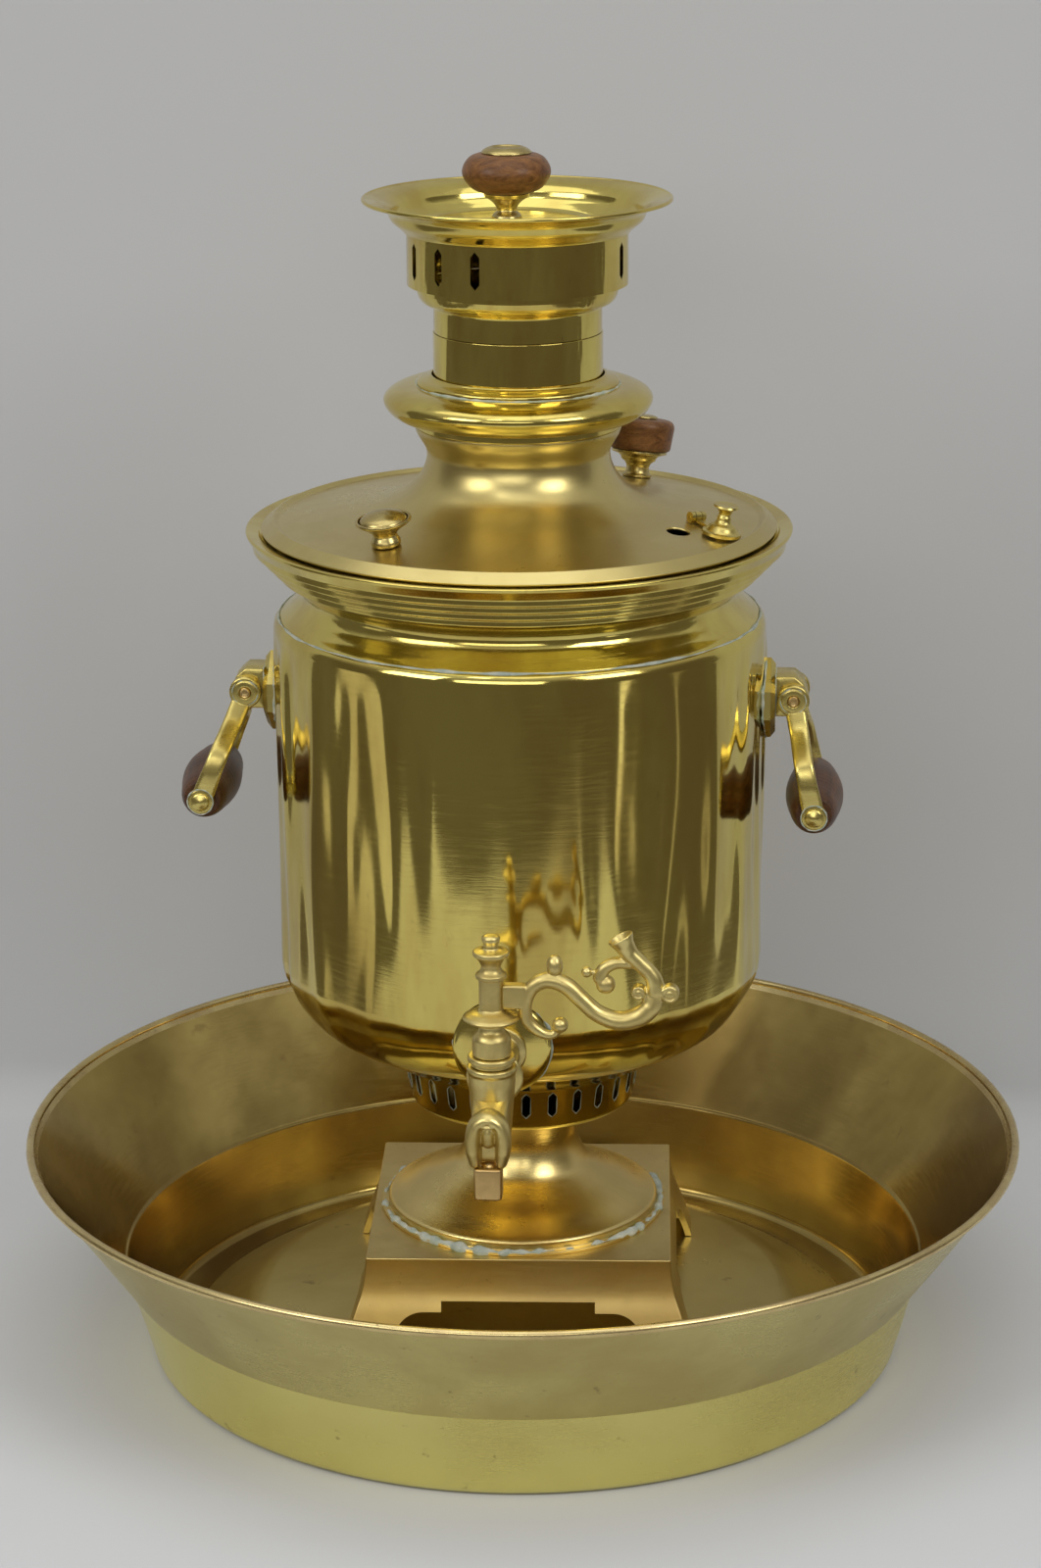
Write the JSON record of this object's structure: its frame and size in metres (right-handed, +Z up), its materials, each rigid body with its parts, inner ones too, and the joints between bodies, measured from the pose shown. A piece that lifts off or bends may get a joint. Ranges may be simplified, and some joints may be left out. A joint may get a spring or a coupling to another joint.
{
  "type": "samovar",
  "caption": "Charcoal samovar of turned brass with a scroll-handled tap, hinged side handles, lift-off lid, slotted crown and chimney cap, standing in a flared drip basin.",
  "frame": {"origin": "on the floor under the centre of the basin", "axes": "+Z up along the samovar's axis, -Y towards the tap, -X and +X towards the handles"},
  "size_m": [0.462, 0.462, 0.5582],
  "materials": {
    "polished_brass": "polished, slightly wavy",
    "worn_brass": "polished with a brown patina",
    "handle_brass": "cast, polished",
    "tap_brass": "cast, dull",
    "basin_brass": "sheet, satin, lightly stained",
    "wood": "turned, varnished, reddish brown",
    "iron": "sooty"
  },
  "bodies": {
    "basin": {"basin": "basin_brass"},
    "samovar": {"plinth": "worn_brass", "pedestal": "polished_brass", "vent_ring": "polished_brass", "grate": "iron", "fire_tube": "polished_brass", "vessel": "polished_brass", "neck_ring": "polished_brass", "left_escutcheon": "handle_brass", "left_hinge_block": "handle_brass", "left_hinge_pin": "handle_brass", "right_escutcheon": "handle_brass", "right_hinge_block": "handle_brass", "right_hinge_pin": "handle_brass", "tap_escutcheon": "tap_brass", "tap_nut": "tap_brass", "tap_body": "tap_brass", "tap_spout": "tap_brass", "tap_outlet": "tap_brass", "tap_washer": "tap_brass"},
    "left_handle": {"left_arm_a": "handle_brass", "left_arm_b": "handle_brass", "left_grip": "wood", "left_grip_rod": "handle_brass", "left_rod_nut_a": "handle_brass", "left_rod_nut_b": "handle_brass"},
    "right_handle": {"right_arm_a": "handle_brass", "right_arm_b": "handle_brass", "right_grip": "wood", "right_grip_rod": "handle_brass", "right_rod_nut_a": "handle_brass", "right_rod_nut_b": "handle_brass"},
    "key": {"tap_key": "tap_brass", "tap_lever": "tap_brass", "tap_finial": "tap_brass"},
    "lid": {"lid": "worn_brass", "lid_skirt": "worn_brass", "lid_collar": "polished_brass", "collar_ring": "polished_brass", "front_knob_cup": "polished_brass", "front_knob_button": "polished_brass", "rear_knob_stem": "polished_brass", "rear_knob_wood": "wood", "rear_knob_cap": "polished_brass", "vent_bracket": "polished_brass", "vent_pin": "polished_brass"},
    "steam_vent": {"vent_cap": "polished_brass", "vent_cap_knob": "polished_brass"},
    "crown": {"crown_spigot": "polished_brass", "crown_neck": "polished_brass", "crown_band": "polished_brass", "crown_dish": "polished_brass"},
    "chimney_cap": {"cap_plate": "polished_brass", "cap_stem": "polished_brass", "cap_knob": "wood", "cap_button": "polished_brass"}
  },
  "joints": [
    {"name": "samovar_lift", "type": "slide", "parent": "basin", "child": "samovar", "axis": [0, 0, 1], "range_m": [0, 0.12]},
    {"name": "lid_lift", "type": "slide", "parent": "samovar", "child": "lid", "axis": [0, 0, 1], "range_m": [0, 0.12]},
    {"name": "crown_lift", "type": "slide", "parent": "lid", "child": "crown", "axis": [0, 0, 1], "range_m": [0, 0.06]},
    {"name": "chimney_cap_lift", "type": "slide", "parent": "crown", "child": "chimney_cap", "axis": [0, 0, 1], "range_m": [0, 0.05]},
    {"name": "steam_vent_hinge", "type": "hinge", "parent": "lid", "child": "steam_vent", "pos_m": [0.07993, -0.02363, 0.40034], "axis": [-0.7625, -0.6408, 0.0892], "range_deg": [0, 105]},
    {"name": "left_handle_hinge", "type": "hinge", "parent": "samovar", "child": "left_handle", "pos_m": [-0.1235, 0, 0.314], "axis": [0, 1, 0], "range_deg": [0, 148]},
    {"name": "right_handle_hinge", "type": "hinge", "parent": "samovar", "child": "right_handle", "pos_m": [0.1235, 0, 0.314], "axis": [0, -1, 0], "range_deg": [0, 158]},
    {"name": "tap_turn", "type": "hinge", "parent": "samovar", "child": "key", "pos_m": [0, -0.1605, 0.183], "axis": [0, 0, 1], "range_deg": [-180, 40]}
  ]
}
